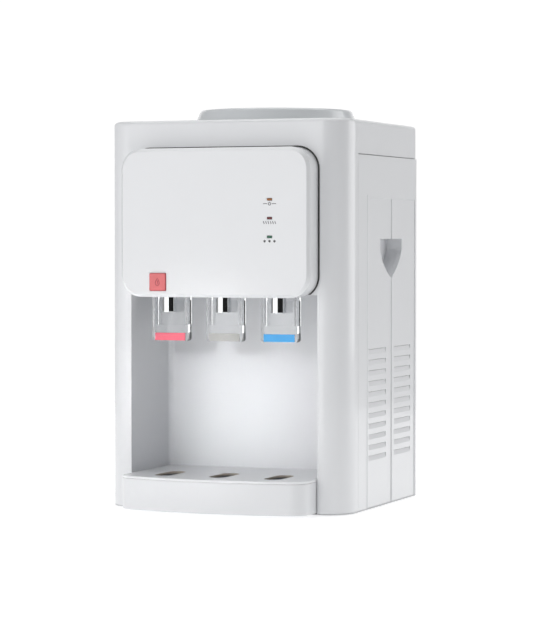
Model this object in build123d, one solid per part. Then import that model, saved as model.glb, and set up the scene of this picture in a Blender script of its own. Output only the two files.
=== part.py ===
from build123d import *
import math
import os

# Countertop water dispenser with three lever taps: millimetres, +Z up, front faces -Y.
# The origin is under the middle of the overall footprint, on the surface it stands on.

# ---- driving dimensions -------------------------------------------------------------
BODY_W = 300.0
BODY_D = 266.0
TRAY_BOW = 54.0              # how far the drip tray stands out at its middle
TRAY_END = 38.0              # and at its ends
FOOT_H = 2.0
TOP_Z = FOOT_H + 451.0
CAP_SEAM_Z = FOOT_H + 411.0  # side joint between the top cover and the side panels
SEAM_DEPTH = 43.0            # front panel wraps this far round each side
WALL = 2.5
GAP = 0.3                    # between neighbouring mouldings
FRONT_R = 34.0
REAR_R = 16.0
TOP_EDGE_R = 5.0

HALF_W = BODY_W / 2
FRONT_Y = TRAY_BOW - (BODY_D + TRAY_BOW) / 2
BACK_Y = FRONT_Y + BODY_D
SEAM_Y = FRONT_Y + SEAM_DEPTH
BASE_T = 1.5
BASE_TOP = FOOT_H + BASE_T

# alcove that the cup stands in, and the niche above it that holds the taps
ALCOVE_HALF = 116.0
ALCOVE_DEPTH = 110.0
ALCOVE_TOP = FOOT_H + 250.0
ALCOVE_BACK = FRONT_Y + ALCOVE_DEPTH
NICHE_HALF = 108.0
NICHE_DEPTH = 38.0
NICHE_TOP = FOOT_H + 330.0
NICHE_BACK = FRONT_Y + NICHE_DEPTH

# raised cover in front of the taps
COVER_W = 234.0
COVER_BOTTOM = FOOT_H + 247.0
COVER_TOP = FOOT_H + 418.0
COVER_OUT = 28.0
COVER_BEVEL = 3.5
COVER_R = 25.0

# taps
TAP_PITCH = 68.0
TAP_NAMES = ("hot", "ambient", "cold")
TAP_Y = FRONT_Y + 2.0
SPOUT_BOTTOM = FOOT_H + 229.0
SLEEVE_R = 9.0
SLEEVE_TOP = FOOT_H + 256.0
CHAMBER_R = 10.5
CHAMBER_BOTTOM = FOOT_H + 257.0
CHAMBER_TOP = FOOT_H + 282.0
SHANK_Z = FOOT_H + 272.0
SHANK_R = 7.8
SHANK_END = FRONT_Y + 56.0
HOSE_END = NICHE_BACK + WALL + 6.6
STEM_R = 2.6
HINGE_Y = TAP_Y - 14.0
HINGE_Z = FOOT_H + 294.0
PIN_R = 2.0
RUNNING_GAP = 0.05
FORK_H = 4.0                 # top of the lever's fork above its pin
CROSS_R = 2.5
LEVER_HALF = 22.5
LEVER_BOTTOM = FOOT_H + 195.5
LEVER_BLOCK_TOP = FOOT_H + 214.5
LEVER_FRONT = FRONT_Y + 4.0
LEVER_BACK = FRONT_Y + 14.0
RAIL_W = 4.0

# drip tray
TRAY_HALF = 115.4
TRAY_BOTTOM = FOOT_H + 2.0
TRAY_TOP = FOOT_H + 38.0
GRILLE_TOP = FOOT_H + 41.0
TRAY_WALL = 2.2
TRAY_REAR = ALCOVE_BACK - 0.6
TRAY_CORNER_R = 22.0
SLOT_L = 58.0
SLOT_W = 21.0

# bottle seat
SEAT_Y = FRONT_Y + 166.0
SEAT_TOP = FOOT_H + 468.0
SEAT_R_BASE = 98.0
SEAT_R_TOP = 91.6
SEAT_HOLE_R = 86.0
NECK_R = 31.0
NECK_BOTTOM = FOOT_H + 396.0

# inner units
COLD_Y = FRONT_Y + 151.0
COLD_R = 55.0
COLD_BOTTOM = FOOT_H + 262.0
COLD_TOP = FOOT_H + 392.0
FOAM_T = 16.0
FEED_PORT = (-20.0, FRONT_Y + 156.0)
AMBIENT_PORT_Z = FOOT_H + 338.0
COLD_PORT_X = 44.0
HOT_X = -52.0
HOT_Y = FRONT_Y + 192.0
HOT_R = 42.0
HOT_BOTTOM = FOOT_H + 72.0
HOT_TOP = FOOT_H + 190.0
HOT_FEED_X = HOT_X + 16.0
HOT_OUT_X = HOT_X - 12.0
FAN_Z = FOOT_H + 314.0
FAN_HALF = 40.0
FAN_T = 15.0
FAN_FRONT = BACK_Y - WALL - 0.6 - FAN_T
SWITCH_Z = FOOT_H + 120.0
SWITCH_X = (52.0, 84.0)
ROCKER_Y = BACK_Y - 7.5
AXLE_R = 1.4
GLAND_X = 68.0
GLAND_Z = FOOT_H + 50.0
GLAND_BORE_R = 3.6
DRAIN_Z = FOOT_H + 48.0

# side panels
CAP_GAP = 0.7                # joint under the top cover
FIELD_DEPTH = 0.5
FIELD_TOP = FOOT_H + 361.0
BEAD_Y = (FRONT_Y + 74.0, FRONT_Y + 161.0, FRONT_Y + 247.0)
GRIP_Y = FRONT_Y + 158.8
GRIP_HALF = 39.2
GRIP_TOP = FOOT_H + 314.0
GRIP_TIP = FOOT_H + 269.0
GRIP_DEPTH = 20.0
LOUVRE_START_Y = (FRONT_Y + 80.5, FRONT_Y + 170.0)
LOUVRE_LENGTH = 60.0
LOUVRE_COUNT = 11
LOUVRE_PITCH = 12.4
LOUVRE_FIRST_Z = FOOT_H + 62.0

# controls on the cover
BUTTON_X = -69.4
BUTTON_Z = FOOT_H + 264.4
BUTTON_S = 20.4
LED_X = 69.0
LED_Z = (FOOT_H + 358.5, FOOT_H + 337.3, FOOT_H + 316.2)
LED_NAMES = ("power", "heating", "cooling")

os.makedirs("parts", exist_ok=True)


# ---- helpers ------------------------------------------------------------------------
def save(shape, name):
    """One node: one STEP file holding its separate solids."""
    solids = shape.solids()
    export_step(Compound(children=list(solids)), f"parts/{name}.step")


def block(x0, x1, y0, y1, z0, z1):
    """Box between two corners."""
    size = (x1 - x0, y1 - y0, z1 - z0)
    middle = ((x0 + x1) / 2, (y0 + y1) / 2, (z0 + z1) / 2)
    return Pos(*middle) * Box(*size)


def rod(x, y, z0, z1, r):
    """Upright cylinder."""
    return Pos(x, y, (z0 + z1) / 2) * Cylinder(r, z1 - z0)


def rod_y(x, z, y0, y1, r):
    """Cylinder along Y."""
    return Pos(x, (y0 + y1) / 2, z) * Rot(90, 0, 0) * Cylinder(r, y1 - y0)


def rod_x(y, z, x0, x1, r):
    """Cylinder along X."""
    return Pos((x0 + x1) / 2, y, z) * Rot(0, 90, 0) * Cylinder(r, x1 - x0)


def prism_z(outline, z0, z1):
    """Extrude a plan outline upwards."""
    return Pos(0, 0, z0) * extrude(outline, z1 - z0)


def prism_x(points, x0, x1):
    """Extrude a (y, z) outline along X."""
    face = make_face(Polyline([(0, y, z) for y, z in points], close=True))
    return Pos(x0, 0, 0) * extrude(face, x1 - x0, dir=(1, 0, 0))


def plate_y(face, y0, y1):
    """Extrude an (x, z) sketch along +Y."""
    return Pos(0, y1, 0) * extrude(Plane.XZ * face, y1 - y0)


def turned(points, x, y):
    """Solid of revolution from an (r, z) outline about an upright axis."""
    face = make_face(Polyline([(r, 0, z) for r, z in points], close=True))
    return Pos(x, y, 0) * revolve(face, Axis.Z)


def housing_outline(half, y0, y1, front_r, rear_r):
    """Plan outline with its own radius at the front and at the rear corners."""
    line = make_face(Polyline([(-half, y0), (half, y0), (half, y1), (-half, y1)], close=True))
    front = [v for v in line.vertices() if v.Y < (y0 + y1) / 2]
    rear = [v for v in line.vertices() if v.Y > (y0 + y1) / 2]
    if front_r:
        line = fillet(front, front_r)
    if rear_r:
        rear = [v for v in line.vertices() if abs(v.Y - y1) < 0.01]
        line = fillet(rear, rear_r)
    return line


def hose(points, outer, inner):
    """Flexible tube along straight runs joined by arcs."""
    radii = []
    for a, b, c in zip(points, points[1:], points[2:]):
        before = Vector(*b) - Vector(*a)
        after = Vector(*c) - Vector(*b)
        turn = math.radians(before.get_angle(after))
        radii.append(0.42 * min(before.length, after.length) / math.tan(turn / 2))
    path = FilletPolyline(*points, radius=radii)
    start = Plane(path @ 0, z_dir=path % 0)
    ring = start * (Circle(outer) - Circle(inner))
    return sweep(ring, path=path)


def coil(x, y, z0, z1, r, wire, turns):
    """Round-wire compression spring about an upright axis."""
    pitch = (z1 - z0 - 2 * wire) / turns
    path = Helix(pitch=pitch, height=pitch * turns, radius=r)
    start = Plane(path @ 0, z_dir=path % 0)
    body = sweep(start * Circle(wire), path=path, is_frenet=True)
    return Pos(x, y, z0 + wire) * body


# ---- housing ------------------------------------------------------------------------
def front_panel():
    """Front moulding: wrap-round face, alcove walls and the tap niche."""
    outer = prism_z(housing_outline(HALF_W, FRONT_Y, SEAM_Y, FRONT_R, 0), BASE_TOP, TOP_Z)
    rim = outer.edges().filter_by(lambda e: abs(e.center().Z - TOP_Z) < 0.01 and e.center().Y < SEAM_Y - 1)
    outer = fillet(rim, TOP_EDGE_R)
    inner_half = HALF_W - WALL
    hollow = housing_outline(inner_half, FRONT_Y + WALL, SEAM_Y + 1, FRONT_R - WALL, 0)
    shell = outer - prism_z(hollow, BASE_TOP - 1, TOP_Z - WALL)
    liner = prism_z(
        housing_outline(ALCOVE_HALF + WALL, FRONT_Y, ALCOVE_BACK + WALL, 0, 8.0), BASE_TOP, ALCOVE_TOP + WALL
    )
    niche = block(
        -NICHE_HALF - WALL, NICHE_HALF + WALL, FRONT_Y, NICHE_BACK + WALL, ALCOVE_TOP, NICHE_TOP + WALL
    )
    panel = shell + liner + niche
    alcove = housing_outline(ALCOVE_HALF, FRONT_Y - 1, ALCOVE_BACK, 0, 6.0)
    panel -= prism_z(alcove, BASE_TOP - 1, ALCOVE_TOP)
    panel -= block(-NICHE_HALF, NICHE_HALF, FRONT_Y - 1, NICHE_BACK, ALCOVE_TOP - 1, NICHE_TOP)
    for x in tap_centres():
        panel -= rod_y(x, SHANK_Z, NICHE_BACK - 1, NICHE_BACK + WALL + 1, SHANK_R + 0.2)
    for x, z in cover_boss_places():
        panel -= rod_y(x, z, FRONT_Y - 1, FRONT_Y + WALL + 1, 2.2)
    return panel


def tap_centres():
    return [TAP_PITCH * k for k in (-1, 0, 1)]


def cover_boss_places():
    return [(x, z) for x in (-100, 100) for z in (NICHE_TOP + 16, COVER_TOP - 14)]


def rounded_plate(width, bottom, top, radius):
    """Upright (x, z) sketch with rounded corners."""
    return Pos(0, (bottom + top) / 2) * RectangleRounded(width, top - bottom, radius)


def tap_cover():
    """Raised cover with a bevelled edge, open behind and notched under each tap."""
    bevel = COVER_BEVEL
    side_y = FRONT_Y - COVER_OUT + bevel
    outer = plate_y(rounded_plate(COVER_W, COVER_BOTTOM, COVER_TOP, COVER_R), side_y, FRONT_Y - GAP)
    base = Plane.XZ.offset(-side_y) * rounded_plate(COVER_W, COVER_BOTTOM, COVER_TOP, COVER_R)
    face = Plane.XZ.offset(COVER_OUT - FRONT_Y) * rounded_plate(
        COVER_W - 2 * bevel, COVER_BOTTOM + bevel, COVER_TOP - bevel, COVER_R - bevel
    )
    outer += loft([base.faces()[0], face.faces()[0]])
    inner_plate = rounded_plate(COVER_W - 2 * WALL, COVER_BOTTOM + WALL, COVER_TOP - WALL, COVER_R - WALL)
    cover = outer - plate_y(inner_plate, FRONT_Y - COVER_OUT + WALL + 1, FRONT_Y + 1)
    for x in tap_centres():
        notch = block(x - 10.2, x + 10.2, TAP_Y - 9.9, FRONT_Y + 1, COVER_BOTTOM - 1, COVER_BOTTOM + WALL + 1)
        cover -= notch
    half = BUTTON_S / 2 + GAP
    face_y = FRONT_Y - COVER_OUT
    cover -= block(BUTTON_X - half, BUTTON_X + half, face_y - 1, side_y + 3, BUTTON_Z - half, BUTTON_Z + half)
    for z in LED_Z:
        cover -= block(LED_X - 3.2, LED_X + 3.2, FRONT_Y - COVER_OUT - 1, side_y + 3, z - 1.5, z + 1.5)
    inside = FRONT_Y - COVER_OUT + WALL + 1
    for dx, dz in ((-15, -12.5), (15, -12.5), (-15, 12.5), (15, 12.5)):
        cover += rod_y(BUTTON_X + dx, BUTTON_Z + dz, inside, inside + 10.5, 2.0)
    bridge = block(
        BUTTON_X - 17, BUTTON_X + 17, inside + 10.5, inside + 12.5, BUTTON_Z - 14.5, BUTTON_Z + 14.5
    )
    cover += bridge - rod_y(BUTTON_X, BUTTON_Z, inside + 10, inside + 13, 3.3)
    for x, z in cover_boss_places():
        boss = rod_y(x, z, inside, FRONT_Y - GAP, 4.0) - rod_y(x, z, FRONT_Y - 12, FRONT_Y, 1.3)
        cover += boss
    for z in (LED_Z[0] + 12, LED_Z[2] - 12):
        cover += rod_y(LED_X, z, inside, inside + 4.0, 2.5)
    return cover


def top_cover():
    """Top cap behind the front panel, with a round opening for the bottle seat."""
    half = HALF_W - 1.0
    rear = BACK_Y - 1.0
    start = SEAM_Y + GAP
    outer = prism_z(housing_outline(half, start, rear, 0, REAR_R), CAP_SEAM_Z + CAP_GAP, TOP_Z)
    rim = outer.edges().filter_by(lambda e: abs(e.center().Z - TOP_Z) < 0.01 and e.center().Y > start + 1)
    outer = fillet(rim, TOP_EDGE_R)
    hollow = housing_outline(half - WALL, start - 1, rear - WALL, 0, REAR_R - WALL)
    cap = outer - prism_z(hollow, CAP_SEAM_Z - 1, TOP_Z - WALL)
    skirt = rod(0, SEAT_Y, TOP_Z - 22, TOP_Z - 1, SEAT_HOLE_R + WALL)
    cap += skirt & prism_z(housing_outline(half - 0.5, start, rear - 0.5, 0, REAR_R - 1), 0, TOP_Z)
    cap -= rod(0, SEAT_Y, TOP_Z - 40, TOP_Z + 10, SEAT_HOLE_R)
    return cap


def grip_outline(grow=0.0):
    """Shield-shaped (y, z) outline of the hand grip: flat top, sides closing to a point."""
    half = GRIP_HALF + grow
    top = GRIP_TOP + grow
    tip = GRIP_TIP - grow
    shoulder = top - 12.0
    drop = shoulder - tip
    flank = [(1.0, 1.0), (0.87, 0.72), (0.66, 0.46), (0.40, 0.22), (0.10, 0.0)]
    right = [(0, GRIP_Y + half * u, tip + drop * v) for u, v in flank]
    left = [(0, GRIP_Y - half * u, tip + drop * v) for u, v in reversed(flank)]
    line = Polyline([left[-1], (0, GRIP_Y - half, top), (0, GRIP_Y + half, top), right[0]])
    line += Spline(right)
    line += Line(right[-1], left[0])
    line += Spline(left)
    return make_face(line)


def side_panel(side):
    """Side moulding: hand grip, upright beads and two columns of louvres that open under their lips."""
    start = SEAM_Y + GAP
    body = prism_z(housing_outline(HALF_W, start, BACK_Y, 0, REAR_R), BASE_TOP, CAP_SEAM_Z)
    hollow = housing_outline(HALF_W - WALL, start - 1, BACK_Y - WALL, 0, REAR_R - WALL)
    shell = body - prism_z(hollow, BASE_TOP - 1, CAP_SEAM_Z + 1)
    panel = shell - block(-HALF_W - 1, HALF_W - REAR_R - 2, start - 1, BACK_Y + 1, 0, TOP_Z)
    for front, rear in zip(BEAD_Y, BEAD_Y[1:]):
        panel -= block(HALF_W - FIELD_DEPTH, HALF_W + 1, front + 2, rear - 2, BASE_TOP - 1, FIELD_TOP)
    for y in BEAD_Y:
        bead = rod(HALF_W - 1.0, y, BASE_TOP, FIELD_TOP + 4, 1.7)
        panel += bead & block(HALF_W - 1.5, HALF_W + 1, -BODY_D, BODY_D, BASE_TOP, FIELD_TOP + 4)
    panel -= Pos(HALF_W - 6, 0, 0) * extrude(grip_outline(), 8, dir=(1, 0, 0))
    cup = Pos(HALF_W - GRIP_DEPTH - WALL, 0, 0) * extrude(grip_outline(WALL), GRIP_DEPTH + 1, dir=(1, 0, 0))
    cup -= Pos(HALF_W - GRIP_DEPTH, 0, 0) * extrude(grip_outline(), GRIP_DEPTH + 2, dir=(1, 0, 0))
    panel += cup
    for start_y in LOUVRE_START_Y:
        for k in range(LOUVRE_COUNT):
            z = LOUVRE_FIRST_Z + LOUVRE_PITCH * k
            hood = Polyline(
                [(HALF_W + 1, 0, z - 6.5), (HALF_W - 0.5, 0, z - 6.0), (HALF_W - 1.7, 0, z), (HALF_W + 1, 0, z)],
                close=True,
            )
            panel -= Pos(0, start_y, 0) * extrude(make_face(hood), LOUVRE_LENGTH, dir=(0, 1, 0))
            panel -= block(
                HALF_W - WALL - 1, HALF_W - 1.2, start_y + 2, start_y + LOUVRE_LENGTH - 2, z - 0.4, z + 1.6
            )
    if side < 0:
        panel = mirror(panel, about=Plane.YZ)
    return panel


def back_panel():
    """Flat rear sheet with a fan grille, switch openings, gland hole and drain hole."""
    half = HALF_W - REAR_R - 2 - GAP
    y0 = BACK_Y - WALL
    sheet = block(-half, half, y0, BACK_Y - 0.5, BASE_TOP, CAP_SEAM_Z)
    for ring in (14.0, 22.0, 30.0, 38.0):
        groove = Circle(ring + 2.4) - Circle(ring - 2.4)
        groove -= Rectangle(5, 90) + Rectangle(90, 5)
        sheet -= Pos(0, 0, FAN_Z) * plate_y(groove, y0 - 1, BACK_Y + 1)
    for x in SWITCH_X:
        sheet -= block(x - 10.3, x + 10.3, y0 - 1, BACK_Y + 1, SWITCH_Z - 14.3, SWITCH_Z + 14.3)
    sheet -= rod_y(GLAND_X, GLAND_Z, y0 - 1, BACK_Y + 1, 6.0)
    sheet -= rod_y(HOT_X, DRAIN_Z, y0 - 1, BACK_Y + 1, 9.2)
    for x, z in back_screw_places():
        sheet -= rod_y(x, z, y0 - 1, BACK_Y + 1, 1.9)
    for k in range(9):
        sheet -= block(-96, -16, y0 - 1, BACK_Y + 1, FOOT_H + 150 + 9 * k, FOOT_H + 154 + 9 * k)
    return sheet


def back_screw_places():
    half = HALF_W - REAR_R - 2 - GAP - 8
    return [(x, z) for x in (-half, half) for z in (FOOT_H + 20, FOOT_H + 215, FOOT_H + 396)]


def base_plate():
    """Folded steel base with a raised flange round three sides."""
    skin = housing_outline(HALF_W, FRONT_Y, BACK_Y - 0.5, FRONT_R, REAR_R)
    sheet = prism_z(skin, FOOT_H, BASE_TOP - GAP)
    inset = WALL + GAP
    outline = housing_outline(HALF_W - inset, FRONT_Y + inset, BACK_Y - inset, FRONT_R - WALL, REAR_R - WALL)
    inset += 1.2
    inner = housing_outline(HALF_W - inset, FRONT_Y, BACK_Y - inset, 0, REAR_R - inset)
    rear = prism_z(outline, FOOT_H, FOOT_H + 14) - prism_z(inner, FOOT_H - 1, FOOT_H + 20)
    sheet += rear & block(-HALF_W, HALF_W, ALCOVE_BACK + 10, BACK_Y, 0, 100)
    for x in (HOT_X - 30, HOT_X + 30):
        sheet -= rod(x, HOT_Y, 0, 10, 2.2)
    return sheet


def foot_pads():
    """Four round rubber feet."""
    places = [(x, y) for x in (-118, 118) for y in (FRONT_Y + 40, BACK_Y - 30)]
    feet = []
    for x, y in places:
        pad = rod(x, y, 0, FOOT_H, 9.0)
        feet.append(fillet(pad.edges().filter_by(lambda e: e.center().Z < 0.01), 0.6))
    return Compound(children=[f.solid() for f in feet])


# ---- bottle seat --------------------------------------------------------------------
def bottle_seat():
    """Lift-out seat: raised collar, dished shoulder, neck tube and hollow probe."""
    flange = TOP_Z + GAP
    outline = [
        (SEAT_R_BASE, flange), (SEAT_R_TOP + 0.5, SEAT_TOP - 2.0), (SEAT_R_TOP - 1.2, SEAT_TOP),
        (SEAT_R_TOP - 5.5, SEAT_TOP), (SEAT_R_TOP - 9.0, SEAT_TOP - 5.0), (SEAT_R_TOP - 16, flange - 7),
        (NECK_R + 16, flange - 20), (NECK_R, flange - 32), (NECK_R, NECK_BOTTOM), (NECK_R + 2.4, NECK_BOTTOM),
        (NECK_R + 2.4, flange - 34), (NECK_R + 18, flange - 23), (SEAT_R_TOP - 15, flange - 10),
        (SEAT_HOLE_R - 4, flange - 10), (SEAT_HOLE_R - 2, flange), (SEAT_HOLE_R - 2, flange),
    ]
    seat = turned(outline[:-1], 0, SEAT_Y)
    probe_r = 11.0
    probe = rod(0, SEAT_Y, NECK_BOTTOM, NECK_BOTTOM + 40, probe_r)
    probe += turned([(0, NECK_BOTTOM + 40), (probe_r, NECK_BOTTOM + 40), (3.0, NECK_BOTTOM + 52),
                     (0, NECK_BOTTOM + 53)], 0, SEAT_Y)
    probe -= rod(0, SEAT_Y, NECK_BOTTOM - 1, NECK_BOTTOM + 38, probe_r - 2)
    for angle in (0, 60, 120):
        slot = Rot(0, 0, angle) * block(-20, 20, -2.5, 2.5, NECK_BOTTOM + 10, NECK_BOTTOM + 34)
        probe -= Pos(0, SEAT_Y, 0) * slot
    for angle in (0, 90, 180, 270):
        spoke = Rot(0, 0, angle) * block(probe_r - 1, NECK_R + 1, -1.5, 1.5, NECK_BOTTOM, NECK_BOTTOM + 6)
        seat += Pos(0, SEAT_Y, 0) * spoke
    return seat + probe


# ---- taps ---------------------------------------------------------------------------
def tap_body(x):
    """Moulded tap: spout, valve chamber, threaded shank and the two hinge ears."""
    tap = rod(x, TAP_Y, SPOUT_BOTTOM + 1.5, CHAMBER_BOTTOM + 1, 6.6)
    tap += rod(x, TAP_Y, CHAMBER_BOTTOM, CHAMBER_TOP, CHAMBER_R)
    tap += rod_y(x, SHANK_Z, TAP_Y + 6, HOSE_END - 0.4, SHANK_R)
    tap += rod_y(x, SHANK_Z, HOSE_END - 1, SHANK_END, 4.9)
    tap += rod_y(x, SHANK_Z, NICHE_BACK - 3.5, NICHE_BACK - 0.2, 12.0)
    for side in (-1, 1):
        inner, outer = sorted((x + side * 6.2, x + side * 9.2))
        ear = prism_x(
            [(TAP_Y - 4, CHAMBER_TOP - 6), (TAP_Y + 2, CHAMBER_TOP - 6), (TAP_Y - 4, HINGE_Z - 2),
             (HINGE_Y + 4, HINGE_Z + 3), (HINGE_Y - 4, HINGE_Z + 3), (HINGE_Y - 4, HINGE_Z - 4),
             (TAP_Y - 9, CHAMBER_TOP - 6)], inner, outer)
        tap += ear
    tap += block(x - 9.2, x + 9.2, TAP_Y - 9, TAP_Y - 2, CHAMBER_TOP - 6, CHAMBER_TOP)
    tap -= rod(x, TAP_Y, SPOUT_BOTTOM, CHAMBER_BOTTOM + 4, 4.4)
    tap -= rod(x, TAP_Y, CHAMBER_BOTTOM + 3, CHAMBER_TOP - 2.5, 8.2)
    tap -= rod(x, TAP_Y, CHAMBER_TOP - 4, CHAMBER_TOP + 1, STEM_R + 0.4)
    tap -= rod_y(x, SHANK_Z, TAP_Y, SHANK_END + 1, 3.4)
    tap -= rod_x(HINGE_Y, HINGE_Z, x - 12, x + 12, PIN_R + RUNNING_GAP / 2)
    return tap


def spout_sleeve(x):
    """Polished tube over the moulded spout."""
    tube = rod(x, TAP_Y, SPOUT_BOTTOM, SLEEVE_TOP, SLEEVE_R) - rod(
        x, TAP_Y, SPOUT_BOTTOM - 1, SLEEVE_TOP + 1, 6.7
    )
    edges = tube.edges().filter_by(GeomType.CIRCLE)
    return fillet(edges.filter_by(lambda e: e.center().Z < SPOUT_BOTTOM + 0.1 and e.radius > 8), 0.8)


def lever_profile():
    """Side outline (y, z) of a lever's arm from its hinge down to the paddle."""
    knee = ALCOVE_TOP + 6
    return [
        (HINGE_Y - 5, HINGE_Z - 4),
        (HINGE_Y - 5, HINGE_Z + 5),
        (HINGE_Y + 5, HINGE_Z + 5),
        (HINGE_Y + 6, HINGE_Z - 6),
        (LEVER_BACK, knee + 12),
        (LEVER_BACK, LEVER_BOTTOM),
        (LEVER_FRONT, LEVER_BOTTOM),
        (LEVER_FRONT, knee),
        (HINGE_Y + 2, knee + 14),
    ]


def tap_lever(x):
    """Clear lever: two arms, a paddle frame with a solid foot, and a fork that lifts the stem."""
    outer_half = LEVER_HALF
    arm_half = outer_half - RAIL_W
    lever = prism_x(lever_profile(), x - outer_half, x - arm_half)
    lever += prism_x(lever_profile(), x + arm_half, x + outer_half)
    lever += block(x - arm_half, x + arm_half, LEVER_FRONT, LEVER_BACK, LEVER_BOTTOM, LEVER_BLOCK_TOP)
    lever += block(
        x - arm_half, x + arm_half, LEVER_BACK - 2, LEVER_BACK, LEVER_BLOCK_TOP, CHAMBER_BOTTOM - 14
    )
    corner = lever.edges().filter_by(Axis.Y).filter_by(
        lambda e: abs(e.center().Z - LEVER_BOTTOM) < 0.01 and abs(abs(e.center().X - x) - outer_half) < 0.01
    )
    lever = fillet(corner, 3.5)
    for side in (-1, 1):
        a, b = sorted((x + side * 9.6, x + side * outer_half))
        lever += rod_x(HINGE_Y, HINGE_Z, a, b, 5.0)
        a, b = sorted((x + side * 3.3, x + side * 5.7))
        lever += block(a, b, HINGE_Y - 9, TAP_Y + 2.5, HINGE_Z + 2.3, HINGE_Z + FORK_H)
    lever += block(x - outer_half, x + outer_half, HINGE_Y - 9, HINGE_Y - 6.5, HINGE_Z - 4, HINGE_Z + FORK_H)
    for side in (-1, 1):
        a, b = sorted((x + side * arm_half, x + side * outer_half))
        lever += block(a, b, HINGE_Y - 9, HINGE_Y - 2, HINGE_Z - 4, HINGE_Z + FORK_H)
    lever -= rod_x(HINGE_Y, HINGE_Z, x - 30, x + 30, PIN_R + RUNNING_GAP)
    lever -= strip_block(x, GAP / 2)
    return lever


def strip_block(x, grow=0.0):
    """Space of the coloured insert in the lever's foot."""
    half = 19.0 + grow
    return block(
        x - half, x + half, LEVER_FRONT - 0.5 - grow, LEVER_FRONT + 2.0 + grow,
        LEVER_BOTTOM + 0.6 - grow, LEVER_BOTTOM + 9.4 + grow
    )


def valve_stem(x):
    """Stem with its seal plug below and the cross bar that rests on the lever's fork."""
    bar_z = HINGE_Z + FORK_H + CROSS_R + 0.4
    stem = rod(x, TAP_Y, CHAMBER_BOTTOM + 6, bar_z, STEM_R)
    stem += rod(x, TAP_Y, CHAMBER_BOTTOM + 3.3, CHAMBER_BOTTOM + 9, 7.4)
    stem += rod_x(TAP_Y, bar_z, x - 6.0, x + 6.0, CROSS_R)
    return stem


def valve_spring(x):
    """Spring that presses the seal plug down."""
    return coil(x, TAP_Y, CHAMBER_BOTTOM + 9.3, CHAMBER_TOP - 2.8, 5.6, 0.5, 4)


def hinge_pins():
    """One steel pin through each tap's ears."""
    half = LEVER_HALF - 0.5
    pins = [rod_x(HINGE_Y, HINGE_Z, x - half, x + half, PIN_R) for x in tap_centres()]
    return Compound(children=[p.solid() for p in pins])


def tap_nuts():
    """Hexagon nuts that hold the taps to the niche wall."""
    nuts = []
    y0 = NICHE_BACK + WALL + 0.2
    for x in tap_centres():
        face = RegularPolygon(13, 6) - Circle(SHANK_R + 0.05)
        nuts.append((Pos(x, 0, SHANK_Z) * plate_y(face, y0, y0 + 6)).solid())
    return Compound(children=nuts)


# ---- drip tray ----------------------------------------------------------------------
def tray_outline(inset=0.0, rear=0.0):
    """Plan outline: straight sides in the alcove and a bowed front with round corners."""
    half = TRAY_HALF - inset
    end_y = FRONT_Y - TRAY_END + inset
    bow_y = FRONT_Y - TRAY_BOW + inset
    back_y = TRAY_REAR - inset - rear
    line = Polyline([(half, end_y), (half, back_y), (-half, back_y), (-half, end_y)])
    line += ThreePointArc((-half, end_y), (0, bow_y), (half, end_y))
    face = make_face(line)
    corners = [v for v in face.vertices() if v.Y < FRONT_Y]
    face = fillet(corners, TRAY_CORNER_R - inset)
    rear_corners = [v for v in face.vertices() if v.Y > FRONT_Y + 50]
    return fillet(rear_corners, 5.0)


def drip_tray():
    """Open tray that slides out to be emptied."""
    outer = prism_z(tray_outline(), TRAY_BOTTOM, TRAY_TOP)
    outer = fillet(outer.faces().sort_by(Axis.Z)[0].edges(), 1.5)
    return outer - prism_z(tray_outline(TRAY_WALL), TRAY_BOTTOM + 2.0, TRAY_TOP + 1)


def grille_slot(x):
    """Plan outline of one drain slot."""
    y = TAP_Y + 2
    return Pos(x, y) * SlotOverall(SLOT_L, SLOT_W, rotation=90)


def drip_grille():
    """Lift-off lid: flat top with a rounded edge and a slot under each spout."""
    lid = prism_z(tray_outline(), TRAY_TOP + GAP, GRILLE_TOP)
    lid = fillet(lid.faces().sort_by(Axis.Z)[-1].edges(), 1.2)
    skirt = prism_z(tray_outline(TRAY_WALL + GAP), TRAY_TOP - 5, TRAY_TOP + 1)
    lid += skirt - prism_z(tray_outline(TRAY_WALL + GAP + 1.8), TRAY_TOP - 6, TRAY_TOP + GAP)
    for x in tap_centres():
        lid -= prism_z(grille_slot(x), TRAY_TOP - 1, GRILLE_TOP + 1)
    return lid


# ---- controls -----------------------------------------------------------------------
def child_lock_button():
    """Square push button with a retaining flange and a guide stem."""
    front = FRONT_Y - COVER_OUT - 1.6
    inside = FRONT_Y - COVER_OUT + WALL + 1 + GAP
    half = BUTTON_S / 2
    cap = block(
        BUTTON_X - half, BUTTON_X + half, front, inside + 0.5, BUTTON_Z - half, BUTTON_Z + half
    )
    cap = fillet(cap.edges().filter_by(Axis.Y), 1.6)
    cap = fillet(cap.faces().sort_by(Axis.Y)[0].edges(), 0.7)
    flange = block(
        BUTTON_X - half - 1.6, BUTTON_X + half + 1.6, inside, inside + 1.4, BUTTON_Z - half, BUTTON_Z + half
    )
    return cap + flange + rod_y(BUTTON_X, BUTTON_Z, inside, inside + 11.8, 3.0)


def child_lock_spring():
    """Spring between the button's flange and the bridge behind it."""
    inside = FRONT_Y - COVER_OUT + WALL + 1
    length = 10.2 - (GAP + 1.4) - 0.2
    upright = coil(0, 0, 0, length, 5.0, 0.45, 4)
    return Pos(BUTTON_X, inside + GAP + 1.4 + 0.1 + length, BUTTON_Z) * Rot(90, 0, 0) * upright


def indicator_lens(z):
    """Light pipe that shows flush in the cover."""
    front = FRONT_Y - COVER_OUT - 0.4
    back = FRONT_Y - COVER_OUT + 9.0
    lens = block(LED_X - 2.9, LED_X + 2.9, front, back, z - 1.2, z + 1.2)
    return fillet(lens.edges().filter_by(Axis.Y), 0.8)


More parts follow.
